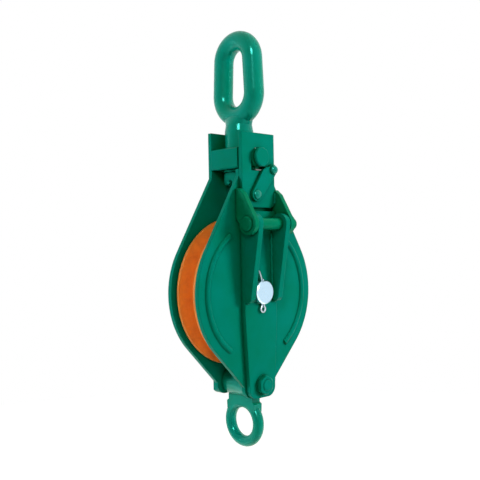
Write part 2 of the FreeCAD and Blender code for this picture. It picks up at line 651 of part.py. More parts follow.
def make_hinge_washer():
    ring = cyl_x(HINGE_R + HINGE_WASHER_W, HINGE_GRIP, HINGE_GRIP + WASHER_T, HINGE_Y, HINGE_Z)
    return ring.cut(cyl_x(HINGE_R, HINGE_GRIP - 1.0, HINGE_GRIP + WASHER_T + 1.0, HINGE_Y, HINGE_Z))


def make_hinge_split_pin():
    eye = Vector(HINGE_PIN_X, HINGE_Y, HINGE_Z + HINGE_R + 2.2 * HINGE_PIN_R)
    shaft = 2.0 * HINGE_R + 1.6 * HINGE_PIN_R
    pin_r = HINGE_PIN_R - RUNNING_FIT
    return split_pin(eye, Vector(0, 0, -1), Vector(0, 1, 0), shaft, 3.0 * HINGE_PIN_R, pin_r, (40.0, 40.0))


def make_latch():
    # A wedge-shaped plate: its nose turns into the journal's groove when the knob is pushed up.
    y0 = -LATCH_FRONT
    land_r = KNOB_R + KNOB_LAND

    def on_boss(degrees):
        x, z = polar(LATCH_BOSS_R, degrees)
        return Vector(LATCH_X + x, y0, LATCH_Z + z)

    def on_land(degrees):
        x, z = polar(land_r, degrees)
        return Vector(KNOB_X + x, y0, KNOB_Z + z)

    left = on_boss(144.0)
    right = on_boss(-40.0)
    edges = [arc(left, on_boss(232.0), right), line(right, on_land(-40.0))]
    edges.append(arc(on_land(-40.0), on_land(25.0), on_land(90.0)))
    edges += poly_edges([
        on_land(90.0), Vector(0.5 * (LATCH_TIP_X + KNOB_X), y0, JOURNAL_Z - LATCH_TIP_DROP + 1.0),
        Vector(LATCH_TIP_X, y0, JOURNAL_Z - LATCH_TIP_DROP),
        Vector(LATCH_NOSE_X, y0, JOURNAL_Z - LATCH_NOSE_DROP), left], closed=False)
    body = slab(edges, Vector(0, LATCH_T, 0))
    return body.cut(cyl_y(LATCH_RIVET_R + RUNNING_FIT, y0 - 1.0, y0 + LATCH_T + 1.0, x=LATCH_X, z=LATCH_Z))


def make_latch_knob():
    stem = cyl_y(KNOB_R, -LATCH_FRONT - KNOB_H, -LATCH_FRONT, x=KNOB_X, z=KNOB_Z)
    return stem.makeFillet(KNOB_ROUND, end_edges(stem, -LATCH_FRONT - KNOB_H))


def make_latch_rivet():
    head_y = -LATCH_FRONT - FREE_GAP
    shank = cyl_y(LATCH_RIVET_R, head_y, -HASP_BACK, x=LATCH_X, z=LATCH_Z)
    head = cyl_y(LATCH_RIVET_R + LATCH_RIVET_LIP, head_y - LATCH_RIVET_H, head_y, x=LATCH_X, z=LATCH_Z)
    head = head.makeFillet(0.85 * LATCH_RIVET_H, end_edges(head, head_y - LATCH_RIVET_H))
    return shank.fuse(head).removeSplitter()


# Bottom bolt and becket eye
def make_bolt():
    tail_y = -FRONT_STRAP_OUT - BOLT_WASHER_T - BOLT_NUT_T - BOLT_TAIL
    shank = cyl_y(BOLT_R, tail_y, BACK_STRAP_OUT, z=BOLT_Z)
    shank = shank.makeChamfer(0.8 * BOLT_TAIL, end_edges(shank, tail_y))
    head = hex_nut(BOLT_FLATS, Vector(0, 1, 0), Vector(0, BACK_STRAP_OUT, BOLT_Z), BOLT_HEAD_T, 0.0)
    return shank.fuse(head).removeSplitter()


def make_bolt_washer():
    y1 = -FRONT_STRAP_OUT
    y0 = y1 - BOLT_WASHER_T
    ring = cyl_y(BOLT_WASHER_R, y0, y1, z=BOLT_Z)
    return ring.cut(cyl_y(BOLT_R, y0 - 1.0, y1 + 1.0, z=BOLT_Z))


def make_bolt_nut():
    y0 = -FRONT_STRAP_OUT - BOLT_WASHER_T - BOLT_NUT_T
    return hex_nut(BOLT_FLATS, Vector(0, 1, 0), Vector(0, y0, BOLT_Z), BOLT_NUT_T, BOLT_R)


def make_spacer():
    tube = cyl_y(SPACER_R, -PLATE_IN, PLATE_IN, z=BOLT_Z)
    return tube.cut(cyl_y(BOLT_R, -PLATE_IN - 1.0, PLATE_IN + 1.0, z=BOLT_Z))


def make_becket_eye():
    # A boss on the bolt's spacer, shoulders that spread below the plates' feet, and the ring.
    ring = Part.makeTorus(EYE_R, EYE_BAR_R, Vector(0, 0, EYE_Z), Vector(1, 0, 0))
    boss = cyl_y(EYE_BOSS_R, -EYE_BOSS_HALF, EYE_BOSS_HALF, z=BOLT_Z)
    x0 = -EYE_NECK_HALF_X
    neck_z = BOLT_Z - EYE_NECK_DROP
    top_y, top_z = polar(EYE_R + 0.5 * EYE_BAR_R, 32.0)
    in_y, in_z = polar(EYE_R, 60.0)
    points = []
    for way, order in ((1.0, 1), (-1.0, -1)):
        half = [
            Vector(x0, way * EYE_BOSS_HALF, BOLT_Z), Vector(x0, way * EYE_BOSS_HALF, neck_z + 1.0),
            Vector(x0, way * EYE_NECK_HALF_Y, neck_z - 1.0), Vector(x0, way * top_y, EYE_Z + top_z),
            Vector(x0, way * in_y, EYE_Z + in_z)]
        points += half[::order]
    shoulders = slab(poly_edges(points), Vector(2.0 * EYE_NECK_HALF_X, 0, 0))
    window = cyl_x(EYE_R - EYE_BAR_R, -SPACER_R, SPACER_R, 0.0, EYE_Z)
    body = shoulders.cut(window).fuse(ring).fuse(boss)
    return body.cut(cyl_y(SPACER_R + RUNNING_FIT, -PLATE_IN, PLATE_IN, z=BOLT_Z)).removeSplitter()


def all_parts():
    return {
        "sheave": make_sheave(),
        "sheave_bush": make_bush(),
        "thrust_washer_front": thrust_washer(-1.0),
        "thrust_washer_back": thrust_washer(1.0),
        "side_plate_front": side_plate(-1.0, FRONT_PLATE_TOP_Z),
        "side_plate_back": make_back_plate(),
        "strap_front": make_front_strap(),
        "strap_back": make_back_strap(),
        "hinge_rib_left": rib(-1.0),
        "hinge_rib_right": rib(1.0),
        "axle": make_axle(),
        "axle_split_pin": make_axle_split_pin(),
        "grease_nipple": make_grease_nipple(),
        "crosshead": make_crosshead(),
        "crosshead_washer": make_journal_washer(),
        "crosshead_split_pin": make_journal_split_pin(),
        "top_link": make_top_link(),
        "link_washer": make_link_washer(),
        "link_nut": make_link_nut(),
        "link_nut_pin": make_link_nut_pin(),
        "hasp_plate": make_hasp_plate(),
        "hasp_arm_left": arm(-1.0),
        "hasp_arm_right": arm(1.0),
        "hinge_pin": make_hinge_pin(),
        "hinge_pin_washer": make_hinge_washer(),
        "hinge_pin_split_pin": make_hinge_split_pin(),
        "latch_rivet": make_latch_rivet(),
        "keeper_latch": make_latch(),
        "latch_knob": make_latch_knob(),
        "bottom_bolt": make_bolt(),
        "bottom_bolt_washer": make_bolt_washer(),
        "bottom_bolt_nut": make_bolt_nut(),
        "bottom_spacer": make_spacer(),
        "becket_eye": make_becket_eye(),
    }


def main():
    os.makedirs("parts", exist_ok=True)
    for name, shape in all_parts().items():
        shape.translate(Vector(0, 0, -SEAT_Z))
        shape.exportStep("parts/" + name + ".step")


main()
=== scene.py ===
import math

import bmesh
import bpy
from mathutils import Matrix, Vector


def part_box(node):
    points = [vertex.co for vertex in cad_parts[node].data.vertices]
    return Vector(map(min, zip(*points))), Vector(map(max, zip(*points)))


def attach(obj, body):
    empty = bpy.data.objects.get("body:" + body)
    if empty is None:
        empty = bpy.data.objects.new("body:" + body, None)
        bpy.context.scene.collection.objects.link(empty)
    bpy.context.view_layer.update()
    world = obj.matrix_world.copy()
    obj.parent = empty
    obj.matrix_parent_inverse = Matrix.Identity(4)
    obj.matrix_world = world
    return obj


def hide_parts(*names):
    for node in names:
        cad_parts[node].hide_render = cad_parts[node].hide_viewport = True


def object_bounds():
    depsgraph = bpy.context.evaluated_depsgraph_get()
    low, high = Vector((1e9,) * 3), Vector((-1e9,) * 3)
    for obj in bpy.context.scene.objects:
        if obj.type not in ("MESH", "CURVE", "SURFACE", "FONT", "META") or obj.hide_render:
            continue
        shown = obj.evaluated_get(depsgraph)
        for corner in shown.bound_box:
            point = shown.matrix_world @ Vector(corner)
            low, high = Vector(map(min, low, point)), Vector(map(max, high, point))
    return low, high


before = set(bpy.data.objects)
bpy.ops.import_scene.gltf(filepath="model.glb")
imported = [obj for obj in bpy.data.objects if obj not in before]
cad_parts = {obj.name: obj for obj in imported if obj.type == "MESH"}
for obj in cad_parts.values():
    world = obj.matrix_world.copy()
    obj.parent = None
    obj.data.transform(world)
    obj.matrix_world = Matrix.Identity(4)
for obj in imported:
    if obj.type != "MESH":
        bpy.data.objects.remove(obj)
CAD_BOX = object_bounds()

bl_info = {
    "name": "Snatch block dresser",
    "version": (1, 0, 0),
    "blender": (4, 5, 0),
    "location": "View3D > Sidebar > Pulley block",
    "description": "Enamels, details and lights a single sheave pulley block",
    "category": "Object",
}

MM = 0.001
UP = Vector((0.0, 0.0, 1.0))


# Places read from the CAD model

def box_mm(node):
    """Lowest and highest corner of a CAD node, in millimetres."""
    low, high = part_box(node)
    return low / MM, high / MM


def middle(node):
    """Middle of a CAD node's box, in metres."""
    low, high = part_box(node)
    return (low + high) / 2.0


SHEAVE_CENTRE = middle("sheave")


# Colours

def linear(code):
    """Linear RGBA of an sRGB hex colour."""
    channels = [int(code[i:i + 2], 16) / 255.0 for i in (1, 3, 5)]
    curve = [c / 12.92 if c <= 0.04045 else ((c + 0.055) / 1.055) ** 2.4 for c in channels]
    return (*curve, 1.0)


# Each enamel's second colour is its painted shade in corners and creases, and its random darker
# patches
GREEN_ENAMEL = "#007F71"
GREEN_SHADE_AND_DRIFT = "#006B45"
HINGE_ENAMEL = "#007E60"
HINGE_SHADE_AND_DRIFT = "#006B42"
FORGING_ENAMEL = "#008A7B"
FORGING_SHADE_AND_DRIFT = "#007A58"
ORANGE_ENAMEL = "#F58E3C"
ORANGE_SHADE_AND_DRIFT = "#C0602A"
ZINC_BRIGHT = "#C8E6FA"
ZINC_DULL = "#AEBCC6"
BRONZE = "#B07A3C"
BRONZE_OILED = "#6E4A22"
GREEN_GLINT = "#58FFEC"
ORANGE_GLINT = "#FFC890"
ROOM_LIGHT = "#FFF6D8"
FLOOR_PAINT = "#F4F4F4"

# Light of the lamps, linear
WHITE = (1.0, 1.0, 1.0)
PALE_BLUE = (0.8, 0.97, 1.0)
PALE_YELLOW = (1.0, 1.0, 0.7)
IVORY = (1.0, 1.0, 0.8)
AMBER = (1.0, 0.85, 0.15)


# Sizes of the finishes' patterns, in millimetres

# Reach of the painted shade in the enamel's corners and creases
CORNER_SHADE_REACH = 14.0
CREASE_SHADE_REACH = 3.5
PEEL_SIZE = 1.6
PEEL_HEIGHT = 0.02
HAZE_SIZE = 3.0
HAZE_HEIGHT = 0.02
OIL_SMEAR_SIZE = 6.0

# Colour of the painted shade in a crease, as a share of the enamel's second colour
CREASE_SHADE_SHARE = 0.35


# Nodes and materials

# A Mix node's colour sockets, by number, because its other sockets have the same names
MIX_A = 6
MIX_B = 7
MIX_RESULT = 2


def add_node(tree, kind, inputs=None, **settings):
    """Add a node, with its settings, and with socket values or links by socket name or number."""
    node = tree.nodes.new(kind)
    for name, value in settings.items():
        setattr(node, name, value)
    for socket, value in (inputs or {}).items():
        if isinstance(value, bpy.types.NodeSocket):
            tree.links.new(value, node.inputs[socket])
        else:
            node.inputs[socket].default_value = value
    return node


def new_material(name):
    """An empty node material and its tree."""
    material = bpy.data.materials.new(name)
    material.use_nodes = True
    material.node_tree.nodes.clear()
    return material, material.node_tree


def waves_per_metre(size_mm):
    """Noise scale whose lumps are about this many millimetres across."""
    return 1000.0 / size_mm


def enamel(name, light, shade_and_drift_colour, glint, gloss, level, ior, drift_mm, lump_mm, lump_height, edge_mm):
    """Sprayed alkyd enamel over steel: a thick wet coat that rounds the edges and shines softly,
    darkened with painted shade in its corners and painted dark shade in every crease, and in random
    darker patches, with the surface of the steel below showing as slow lumps in its reflections. The
    spray leaves a fine peel, at its real size of 1 to 2 mm."""
    material, tree = new_material(name)
    place = add_node(tree, "ShaderNodeTexCoord").outputs["Object"]
    drift = add_node(tree, "ShaderNodeTexNoise", {
        "Vector": place, "Scale": waves_per_metre(drift_mm), "Detail": 3.0, "Roughness": 0.55})

    # Painted shade: the enamel darkens towards its second colour in corners, found by ambient
    # occlusion, and in random patches
    corner = add_node(tree, "ShaderNodeAmbientOcclusion", {"Distance": CORNER_SHADE_REACH * MM}, samples=6)
    darkened = add_node(tree, "ShaderNodeMapRange", {
        "Value": corner.outputs["AO"], "From Min": 0.3, "From Max": 0.95,
        "To Min": 1.0, "To Max": 0.0})
    spread = add_node(tree, "ShaderNodeMapRange", {
        "Value": drift.outputs["Fac"], "From Min": 0.35, "From Max": 0.7,
        "To Min": 0.0, "To Max": 0.5})
    shade_and_drift = add_node(tree, "ShaderNodeMath", {
        0: darkened.outputs["Result"], 1: spread.outputs["Result"]}, operation="MAXIMUM")
    coat = add_node(tree, "ShaderNodeMix", {
        "Factor": shade_and_drift.outputs[0], MIX_A: light, MIX_B: shade_and_drift_colour}, data_type="RGBA")

    # Painted shade: creases, found by ambient occlusion, darken to a share of the second colour
    crease = add_node(tree, "ShaderNodeAmbientOcclusion", {"Distance": CREASE_SHADE_REACH * MM}, samples=6)
    crease_shade = add_node(tree, "ShaderNodeMapRange", {
        "Value": crease.outputs["AO"], "From Min": 0.45, "From Max": 0.9,
        "To Min": 0.75, "To Max": 0.0})
    crease_shade_colour = [CREASE_SHADE_SHARE * channel for channel in shade_and_drift_colour[:3]] + [1.0]
    colour = add_node(tree, "ShaderNodeMix", {
        "Factor": crease_shade.outputs["Result"], MIX_A: coat.outputs[MIX_RESULT], MIX_B: crease_shade_colour},
        data_type="RGBA")

    lumps = add_node(tree, "ShaderNodeTexNoise", {
        "Vector": place, "Scale": waves_per_metre(lump_mm), "Detail": 2.0, "Roughness": 0.5})
    peel = add_node(tree, "ShaderNodeTexNoise", {
        "Vector": place, "Scale": waves_per_metre(PEEL_SIZE), "Detail": 1.0})
    rounded = add_node(tree, "ShaderNodeBevel", {"Radius": edge_mm * MM}, samples=4)
    relief = add_node(tree, "ShaderNodeBump", {
        "Height": lumps.outputs["Fac"], "Distance": lump_height * MM, "Strength": 1.0,
        "Normal": rounded.outputs["Normal"]})
    skin = add_node(tree, "ShaderNodeBump", {
        "Height": peel.outputs["Fac"], "Distance": PEEL_HEIGHT * MM, "Strength": 1.0,
        "Normal": relief.outputs["Normal"]})
    sheen = add_node(tree, "ShaderNodeMapRange", {
        "Value": drift.outputs["Fac"], "From Min": 0.3, "From Max": 0.7,
        "To Min": gloss - 0.04, "To Max": gloss + 0.06})

    shader = add_node(tree, "ShaderNodeBsdfPrincipled", {
        "Base Color": colour.outputs[MIX_RESULT], "Roughness": sheen.outputs["Result"],
        "Normal": skin.outputs["Normal"], "IOR": ior, "Specular IOR Level": level,
        "Specular Tint": glint})
    add_node(tree, "ShaderNodeOutputMaterial", {"Surface": shader.outputs["BSDF"]})
    return material


def zinc_plate(name, bright, smoothest, roughest):
    """Steel with zinc plating: a pale bluish metal whose shine is broken by a cloudy haze, drawn
    3 mm across so that it shows."""
    material, tree = new_material(name)
    place = add_node(tree, "ShaderNodeTexCoord").outputs["Object"]
    haze = add_node(tree, "ShaderNodeTexNoise", {
        "Vector": place, "Scale": waves_per_metre(HAZE_SIZE), "Detail": 3.0})
    dull = add_node(tree, "ShaderNodeMapRange", {
        "Value": haze.outputs["Fac"], "To Min": smoothest, "To Max": roughest})
    grain = add_node(tree, "ShaderNodeBump", {
        "Height": haze.outputs["Fac"], "Distance": HAZE_HEIGHT * MM})
    shader = add_node(tree, "ShaderNodeBsdfPrincipled", {
        "Base Color": bright, "Metallic": 1.0, "Roughness": dull.outputs["Result"],
        "Normal": grain.outputs["Normal"]})
    add_node(tree, "ShaderNodeOutputMaterial", {"Surface": shader.outputs["BSDF"]})
    return material


def oiled_bronze(name, colour):
    """Machined bearing bronze under a film of oil: a warm metal with darker smears."""
    material, tree = new_material(name)
    place = add_node(tree, "ShaderNodeTexCoord").outputs["Object"]
    smears = add_node(tree, "ShaderNodeTexNoise", {
        "Vector": place, "Scale": waves_per_metre(OIL_SMEAR_SIZE), "Detail": 4.0})
    tint = add_node(tree, "ShaderNodeMix", {
        "Factor": smears.outputs["Fac"], MIX_A: colour, MIX_B: linear(BRONZE_OILED)},
        data_type="RGBA")
    shader = add_node(tree, "ShaderNodeBsdfPrincipled", {
        "Base Color": tint.outputs[MIX_RESULT], "Metallic": 1.0, "Roughness": 0.3})
    add_node(tree, "ShaderNodeOutputMaterial", {"Surface": shader.outputs["BSDF"]})
    return material


def dress(nodes, material):
    """Give CAD nodes this material."""
    for name in nodes:
        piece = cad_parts[name]
        piece.data.materials.clear()
        piece.data.materials.append(material)


PLATEWORK = (
    "side_plate_front", "side_plate_back", "strap_front", "strap_back", "hinge_rib_left",
    "hinge_rib_right", "hasp_plate", "keeper_latch", "crosshead", "crosshead_washer")
HINGE_PARTS = (
    "hasp_arm_left", "hasp_arm_right", "hinge_pin", "hinge_pin_washer", "hinge_pin_split_pin")
FORGINGS = ("top_link", "becket_eye")
TURNED_AND_PAINTED = (
    "link_washer", "link_nut", "link_nut_pin", "latch_knob", "latch_rivet", "bottom_bolt",
    "bottom_bolt_washer", "bottom_bolt_nut", "bottom_spacer", "crosshead_split_pin")
PLATED = ("axle", "axle_split_pin", "grease_nipple")
BEARINGS = ("sheave_bush", "thrust_washer_front", "thrust_washer_back")


# Shapes, whose places and sizes are in millimetres

def wrap(shape, loops):
    """Join loops of corners, each to the next, with four-sided faces, and close the first."""
    sides = len(loops[0])
    for near, far in zip(loops, loops[1:]):
        for j in range(sides):
            k = (j + 1) % sides
            shape.faces.new((near[j], near[k], far[k], far[j]))
    shape.faces.new(list(reversed(loops[0])))


def swept_bar(shape, path, radii, sides):
    """Add a closed round bar along a path, with its own radius at each point."""
    points = [Vector(point) * MM for point in path]
    side = None
    loops = []
    for i, point in enumerate(points):
        ahead = points[min(i + 1, len(points) - 1)] - points[max(i - 1, 0)]
        ahead.normalize()
        if side is None:
            side = ahead.orthogonal().normalized()
        side = (side - ahead * side.dot(ahead)).normalized()
        over = ahead.cross(side)
        loop = []
        for j in range(sides):
            turn = 2.0 * math.pi * j / sides
            spoke = side * math.cos(turn) + over * math.sin(turn)
            loop.append(shape.verts.new(point + spoke * radii[i] * MM))
        loops.append(loop)
    wrap(shape, loops)
    shape.faces.new(loops[-1])


def turned_head(shape, centre, outline, sides):
    """Add a turned solid whose axis runs along Y: outline is (radius, y) from its back to its tip,
    and centre is the axis's x and z."""
    x, z = centre
    loops = []
    for radius, y in outline[:-1]:
        loop = []
        for j in range(sides):
            turn = 2.0 * math.pi * j / sides
            corner = Vector((x + radius * math.cos(turn), y, z + radius * math.sin(turn)))
            loop.append(shape.verts.new(corner * MM))
        loops.append(loop)
    wrap(shape, loops)
    tip = shape.verts.new(Vector((x, outline[-1][1], z)) * MM)
    for j in range(sides):
        shape.faces.new((loops[-1][j], loops[-1][(j + 1) % sides], tip))


def new_piece(name, shape, material, body):
    """Make a smooth piece of a finished shape, and let it ride on a body."""
    bmesh.ops.recalc_face_normals(shape, faces=shape.faces)
    mesh = bpy.data.meshes.new(name)
    shape.to_mesh(mesh)
    shape.free()
    mesh.shade_smooth()
    mesh.materials.append(material)
    piece = bpy.data.objects.new(name, mesh)
    bpy.context.scene.collection.objects.link(piece)
    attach(piece, body)
    return piece


# Shares of a weld bead's radius: its radius at an end and in a trough, what a crest adds and how far
# the bead wanders to a side
BEAD_END = 0.55
BEAD_TROUGH = 0.9
BEAD_CREST = 0.14
BEAD_WANDER = 0.12

# How steeply a bead grows from its end, the turn of its wandering in one ripple, in radians, and the
# loops of corners that draw one ripple
BEAD_GROWTH = 0.9
WANDER_PER_RIPPLE = 1.7
LOOPS_PER_RIPPLE = 6


def weld_bead(name, start, end, radius, ripple, material, body):
    """A fillet weld's bead between two points, rippled where each drop of metal froze, thinner at
    its ends and wandering a little."""
    start = Vector(start)
    end = Vector(end)
    length = (end - start).length
    steps = int(length / ripple * LOOPS_PER_RIPPLE)
    path = []
    radii = []
    for i in range(steps + 1):
        along = i / steps
        phase = along * length / ripple
        wander = BEAD_WANDER * radius * math.sin(WANDER_PER_RIPPLE * phase)
        growth = BEAD_GROWTH * min(along, 1.0 - along) * length / radius
        taper = min(1.0, BEAD_END + growth)
        swell = BEAD_TROUGH + BEAD_CREST * abs(math.sin(math.pi * phase))
        path.append(start.lerp(end, along) + Vector((0.0, wander, 0.0)))
        radii.append(radius * taper * swell)
    shape = bmesh.new()
    swept_bar(shape, path, radii, sides=14)
    new_piece(name, shape, material, body)


def split_pin_path(low, high, wire):
    """Middle line of a split pin's wire in the box of the pin: the leg that is turned out, down to
    the ring, round it and up the other leg."""
    y = (low.y + high.y) / 2.0
    ring = 3.1
    ring_height = low.z + ring + wire
    ring_top = ring_height + ring
    ring_steps = 12
    leg = 0.92 * wire
    flare = 0.5
    shoulder = ring_top + 0.4
    throat = ring_top + 2.2
    leg_top = high.z - 12.5
    path = [
        (low.x + 0.9, y, high.z - 0.9), (low.x + 2.4, y, high.z - 4.0),
        (-leg - flare, y, high.z - 10.0), (-leg, y, leg_top), (-leg, y, throat),
        (-leg - flare, y, shoulder)]
    for i in range(ring_steps + 1):
        turn = math.radians(130.0 + 280.0 * i / ring_steps)
        path.append((ring * math.cos(turn), y, ring_height + ring * math.sin(turn)))
    path += [
        (leg + flare, y, shoulder), (leg, y, throat), (leg, y, leg_top),
        (leg + 0.3, y, high.z - 10.5)]
    return path


def dome_outline(radius, back, front, rise):
    """Outline of a round head from its back to the tip of its dome, as (radius, y)."""
    steps = 8
    outline = [(radius, back), (radius, front + rise)]
    for i in range(1, steps + 1):
        turn = math.radians(90.0 * i / steps)
        outline.append((radius * math.cos(turn), front + rise * (1.0 - math.sin(turn))))
    return outline


# Light and camera, in metres and degrees

FLOOR_RADIUS = 2.5
FLOOR_DROP = 0.45
AIM_RAISE = 0.05


def background_rays(tree):
    """1 for rays that show the background, straight, mirrored or through glass, and 0 for light."""
    path = add_node(tree, "ShaderNodeLightPath")
    seen = add_node(tree, "ShaderNodeMath", {
        0: path.outputs["Is Camera Ray"], 1: path.outputs["Is Glossy Ray"]}, operation="MAXIMUM")
    clear = add_node(tree, "ShaderNodeMath", {
        0: seen.outputs[0], 1: path.outputs["Is Transmission Ray"]}, operation="MAXIMUM")
    return clear.outputs[0]


def make_world(scene, room):
    """A plain pale room: white to the camera and in reflections, softer as light."""
    world = bpy.data.worlds.new("pale_room")
    scene.world = world
    world.use_nodes = True
    tree = world.node_tree
    tree.nodes.clear()
    clear = background_rays(tree)
    strength = add_node(tree, "ShaderNodeMapRange", {
        "Value": clear, "To Min": room, "To Max": 1.0})
    colour = add_node(tree, "ShaderNodeMix", {
        "Factor": clear, MIX_A: linear(ROOM_LIGHT), MIX_B: (*WHITE, 1.0)}, data_type="RGBA")
    light = add_node(tree, "ShaderNodeBackground", {
        "Color": colour.outputs[MIX_RESULT], "Strength": strength.outputs["Result"]})
    add_node(tree, "ShaderNodeOutputWorld", {"Surface": light.outputs[0]})


def make_floor():
    """A round pale floor below the hanging block, white to the camera and in reflections except for
    the block's shadow."""
    material, tree = new_material("pale_studio_floor")
    glow = add_node(tree, "ShaderNodeMapRange", {
        "Value": background_rays(tree), "To Min": 0.0, "To Max": 0.9})
    shader = add_node(tree, "ShaderNodeBsdfPrincipled", {
        "Base Color": linear(FLOOR_PAINT), "Roughness": 0.9, "Specular IOR Level": 0.1,
        "Emission Color": (*WHITE, 1.0), "Emission Strength": glow.outputs["Result"]})
    add_node(tree, "ShaderNodeOutputMaterial", {"Surface": shader.outputs["BSDF"]})
    mesh = bpy.data.meshes.new("studio_floor")
    shape = bmesh.new()
    bmesh.ops.create_circle(shape, cap_ends=True, segments=96, radius=FLOOR_RADIUS)
    shape.to_mesh(mesh)
    shape.free()
    mesh.materials.append(material)
    floor = bpy.data.objects.new("studio_floor", mesh)
    floor.location = (0.0, 0.0, CAD_BOX[0][2] - FLOOR_DROP)
    bpy.context.scene.collection.objects.link(floor)


def orbit(azimuth, elevation, distance, centre):
    """A point at an angle round the front, positive to the right, and up."""
    a = math.radians(azimuth)
    e = math.radians(elevation)
    flat = Vector((math.sin(a), -math.cos(a), 0.0))
    return centre + (flat * math.cos(e) + UP * math.sin(e)) * distance


def area_lamp(name, place, aim, size, watts, colour, mirrored):
    """A square softbox at a place, turned to a point: it either lights the block or is mirrored."""
    lamp = bpy.data.lights.new(name, "AREA")
    lamp.shape = "SQUARE"
    lamp.size = size
    lamp.energy = watts
    lamp.color = colour
    holder = bpy.data.objects.new(name, lamp)
    holder.location = place
    holder.rotation_euler = (aim - place).to_track_quat("-Z", "Y").to_euler()
    holder.visible_glossy = mirrored
    holder.visible_diffuse = not mirrored
    bpy.context.scene.collection.objects.link(holder)


def make_lamps(studio):
    """A key softbox at the right front, low down, a rim one behind the block at the left, soft ones
    overhead and far behind the camera, and a warm edge lamp behind at the right. The paint mirrors
    none of them, but only a bright window over the camera, which lights nothing. Each row holds
    name, azimuth, elevation, distance, size, power, colour and whether the paint mirrors it."""
    aim = SHEAVE_CENTRE + UP * AIM_RAISE
    for name, azimuth, elevation, distance, size, watts, colour, mirrored in (
            ("key_softbox", 35.0, 13.0, 1.3, 0.4, studio.key, WHITE, False),
            ("rim_softbox", -140.0, 2.0, 1.3, 0.5, studio.rim, PALE_BLUE, False),
            ("top_softbox", -10.0, 70.0, 1.3, 0.6, studio.top, PALE_YELLOW, False),
            ("far_softbox", -50.0, 27.0, 3.0, 0.4, studio.far, IVORY, False),
            ("warm_edge_lamp", 112.0, 14.0, 1.2, 0.3, studio.warm, AMBER, False),
            ("camera_window", -50.0, 32.0, 3.0, 0.7, studio.spark, WHITE, True)):
        place = orbit(azimuth, elevation, distance, aim)
        area_lamp(name, place, aim, size, watts, colour, mirrored)


def make_camera(studio):
    """The camera at the photograph's viewing angle."""
    data = bpy.data.cameras.new("photo_camera")
    data.sensor_width = 36.0
    data.lens = studio.lens
    data.clip_start = 0.01
    camera = bpy.data.objects.new("photo_camera", data)
    flat = Vector((math.sin(studio.azimuth), -math.cos(studio.azimuth), 0.0))
    place = SHEAVE_CENTRE + flat * studio.distance + UP * studio.height
    heading = studio.azimuth + studio.turn
    ahead = Vector((-math.sin(heading), math.cos(heading), 0.0))
    view = ahead * math.cos(studio.tilt) - UP * math.sin(studio.tilt)
    right = view.cross(UP).normalized()
    above = right.cross(view)
    rolled_right = right * math.cos(studio.roll) + above * math.sin(studio.roll)
    rolled_above = above * math.cos(studio.roll) - right * math.sin(studio.roll)
    turn = Matrix((rolled_right, rolled_above, -view)).transposed()
    camera.matrix_world = Matrix.Translation(place) @ turn.to_4x4()
    bpy.context.scene.collection.objects.link(camera)
    return camera


# Settings that a user would change

class BlockFinishes(bpy.types.PropertyGroup):
    """Colours of the block's finishes."""
    green: bpy.props.FloatVectorProperty(
        name="Green enamel", description="Enamel of the plates, bolts, welds and domed heads",
        default=linear(GREEN_ENAMEL), size=4, subtype="COLOR", min=0.0, max=1.0)
    # Painted shade in the corners and creases of these parts, and their random darker patches
    green_shade_and_drift: bpy.props.FloatVectorProperty(
        name="Green in corners", description="Enamel of the same parts where it has pooled",
        default=linear(GREEN_SHADE_AND_DRIFT), size=4, subtype="COLOR", min=0.0, max=1.0)
    hinge: bpy.props.FloatVectorProperty(
        name="Hinge enamel", description="Enamel of the hasp's arms and the hinge pin",
        default=linear(HINGE_ENAMEL), size=4, subtype="COLOR", min=0.0, max=1.0)
    # Painted shade in the corners and creases of the hinge, and its random darker patches
    hinge_shade_and_drift: bpy.props.FloatVectorProperty(
        name="Hinge in corners", description="Enamel of the hinge where it has pooled",
        default=linear(HINGE_SHADE_AND_DRIFT), size=4, subtype="COLOR", min=0.0, max=1.0)
    forging: bpy.props.FloatVectorProperty(
        name="Forging enamel", description="Enamel of the top link and becket eye",
        default=linear(FORGING_ENAMEL), size=4, subtype="COLOR", min=0.0, max=1.0)
    # Painted shade in the corners and creases of the forgings, and their random darker patches
    forging_shade_and_drift: bpy.props.FloatVectorProperty(
        name="Forging in corners", description="Enamel of the forgings where it has pooled",
        default=linear(FORGING_SHADE_AND_DRIFT), size=4, subtype="COLOR", min=0.0, max=1.0)
    orange: bpy.props.FloatVectorProperty(
        name="Orange enamel", description="Enamel of the sheave",
        default=linear(ORANGE_ENAMEL), size=4, subtype="COLOR", min=0.0, max=1.0)
    # Painted shade in the corners and creases of the sheave, and its random darker patches
    orange_shade_and_drift: bpy.props.FloatVectorProperty(
        name="Orange in corners", description="Enamel of the sheave where it has pooled",
        default=linear(ORANGE_SHADE_AND_DRIFT), size=4, subtype="COLOR", min=0.0, max=1.0)
    zinc: bpy.props.FloatVectorProperty(
        name="Zinc plating", description="Plating of the axle and the grease nipple",
        default=linear(ZINC_BRIGHT), size=4, subtype="COLOR", min=0.0, max=1.0)
    bronze: bpy.props.FloatVectorProperty(
        name="Bearing bronze", description="Bush and thrust washers",
        default=linear(BRONZE), size=4, subtype="COLOR", min=0.0, max=1.0)


class BlockDetails(bpy.types.PropertyGroup):
    """Sizes of the details added to the block."""
    bead: bpy.props.FloatProperty(
        name="Weld bead", description="Radius of the fillet welds' beads",
        default=2.1 * MM, unit="LENGTH")
    ripple: bpy.props.FloatProperty(
        name="Weld ripple", description="Length of one ripple of a weld",
        default=2.6 * MM, unit="LENGTH")
    wire: bpy.props.FloatProperty(
        name="Split pin wire", description="Radius of the axle's split pin's wire",
        default=1.1 * MM, unit="LENGTH")
    rivet_dome: bpy.props.FloatProperty(
        name="Rivet's dome", description="Height of the dome on the latch's rivet",
        default=2.6 * MM, unit="LENGTH")
    knob_dome: bpy.props.FloatProperty(
        name="Knob's dome", description="Height of the dome on the latch's knob",
        default=4.4 * MM, unit="LENGTH")


